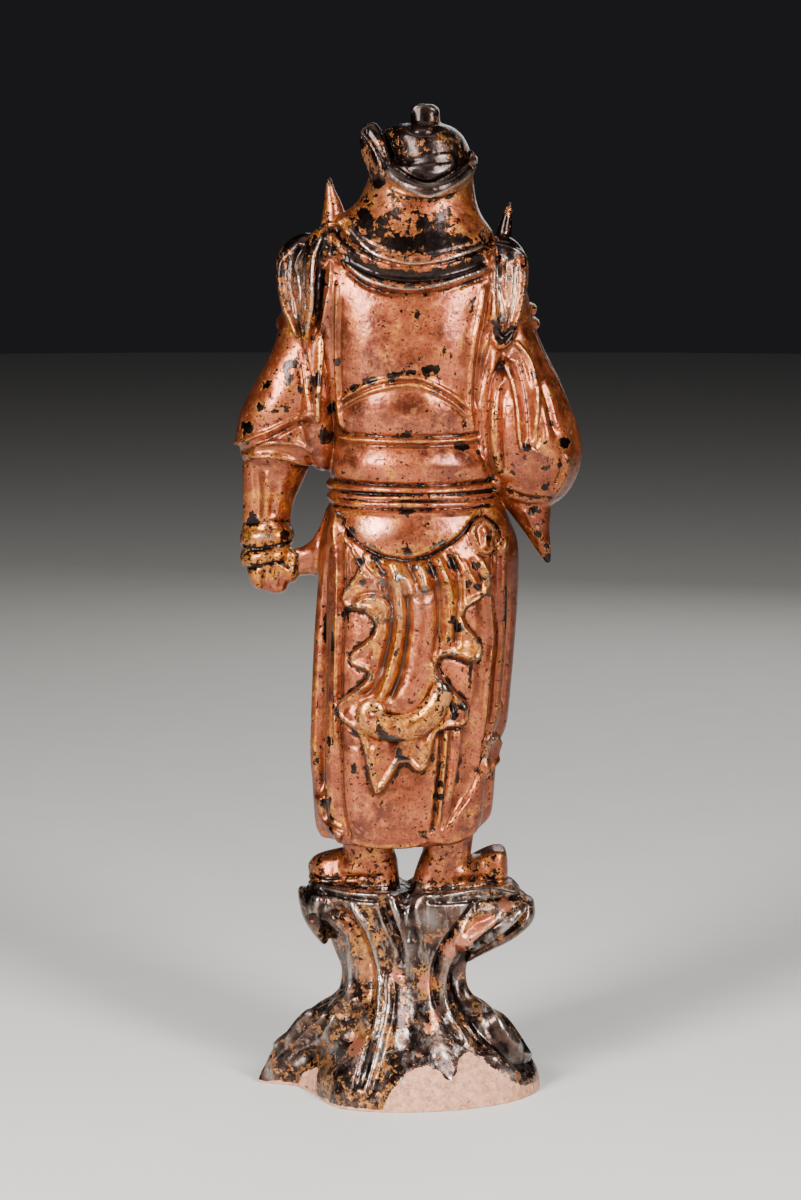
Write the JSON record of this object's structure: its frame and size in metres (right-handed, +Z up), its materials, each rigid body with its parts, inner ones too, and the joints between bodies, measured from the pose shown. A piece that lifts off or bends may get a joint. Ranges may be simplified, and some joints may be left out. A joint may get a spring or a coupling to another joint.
{
  "type": "lacquered wood warrior figure",
  "caption": "Standing warrior in helmet, back plate, wide sleeves and long skirt, carved in one piece with a waisted rock plinth.",
  "frame": {"origin": "middle of the plinth's flat underside", "axes": "+Z up, +Y the way the figure faces, +X towards the figure's right-hand side"},
  "size_m": [0.1557, 0.105, 0.45],
  "materials": {
    "lacquered_wood": "glossy worn lacquer"
  },
  "bodies": {
    "root": {"warrior_figure": "lacquered_wood"}
  },
  "joints": []
}
